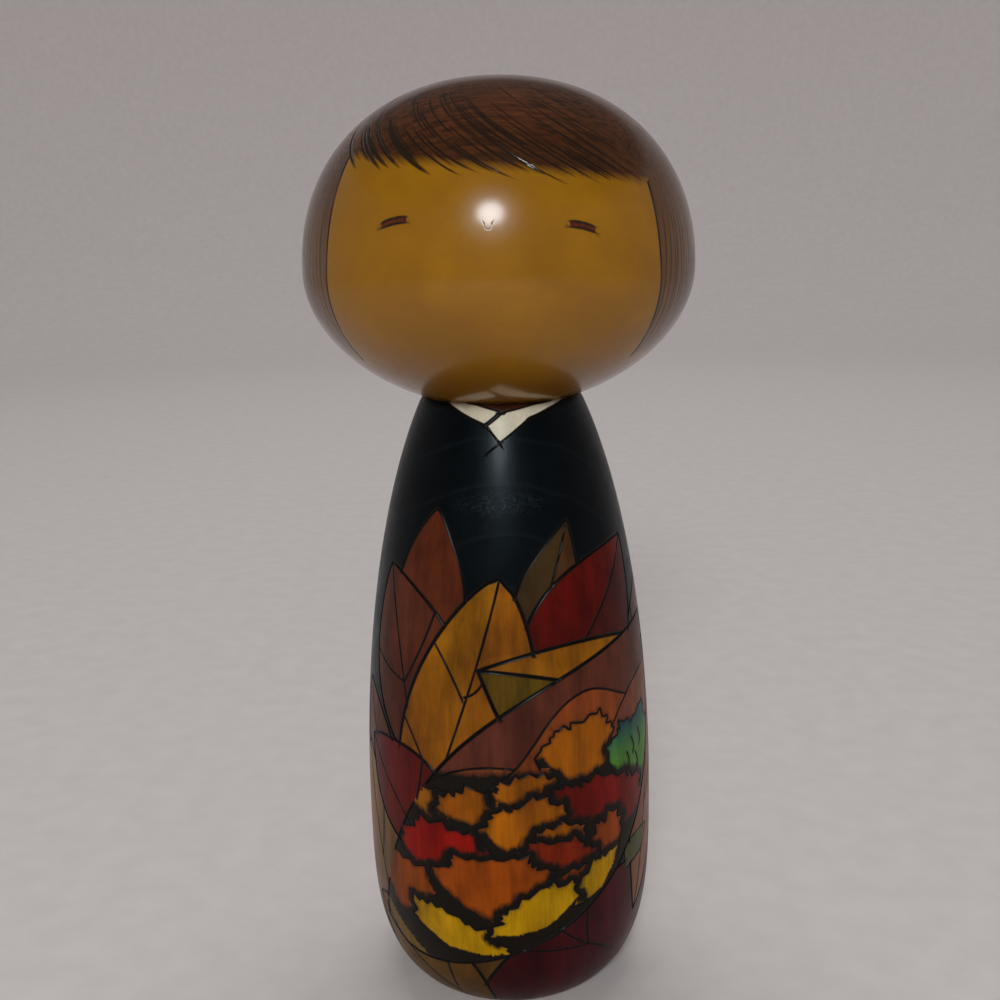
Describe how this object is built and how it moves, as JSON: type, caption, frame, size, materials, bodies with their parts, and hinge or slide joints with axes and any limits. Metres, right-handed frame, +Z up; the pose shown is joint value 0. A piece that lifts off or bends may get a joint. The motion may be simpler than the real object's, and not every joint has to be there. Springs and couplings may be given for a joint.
{
  "type": "kokeshi doll",
  "caption": "Turned wooden doll: tall rounded body with a burnt and stained leaf pattern, and a wide bobbed head that turns on a neck peg.",
  "frame": {"origin": "on the turning axis, in the plane of the rim that the doll stands on", "axes": "+Z up along the turning axis; the face looks along -Y; +X is towards the doll's left side"},
  "size_m": [0.1, 0.1, 0.241],
  "materials": {
    "robe_wood": "stained and burnt wood under gloss lacquer",
    "face_wood": "amber stained wood under gloss lacquer",
    "peg_wood": "bare turned wood"
  },
  "bodies": {
    "body": {"body": "robe_wood"},
    "head": {"head": "face_wood", "neck_peg": "peg_wood"}
  },
  "joints": [
    {"name": "head_turn", "type": "hinge", "parent": "body", "child": "head", "pos_m": [0, 0, 0.162], "axis": [0, 0, 1], "continuous": true}
  ]
}
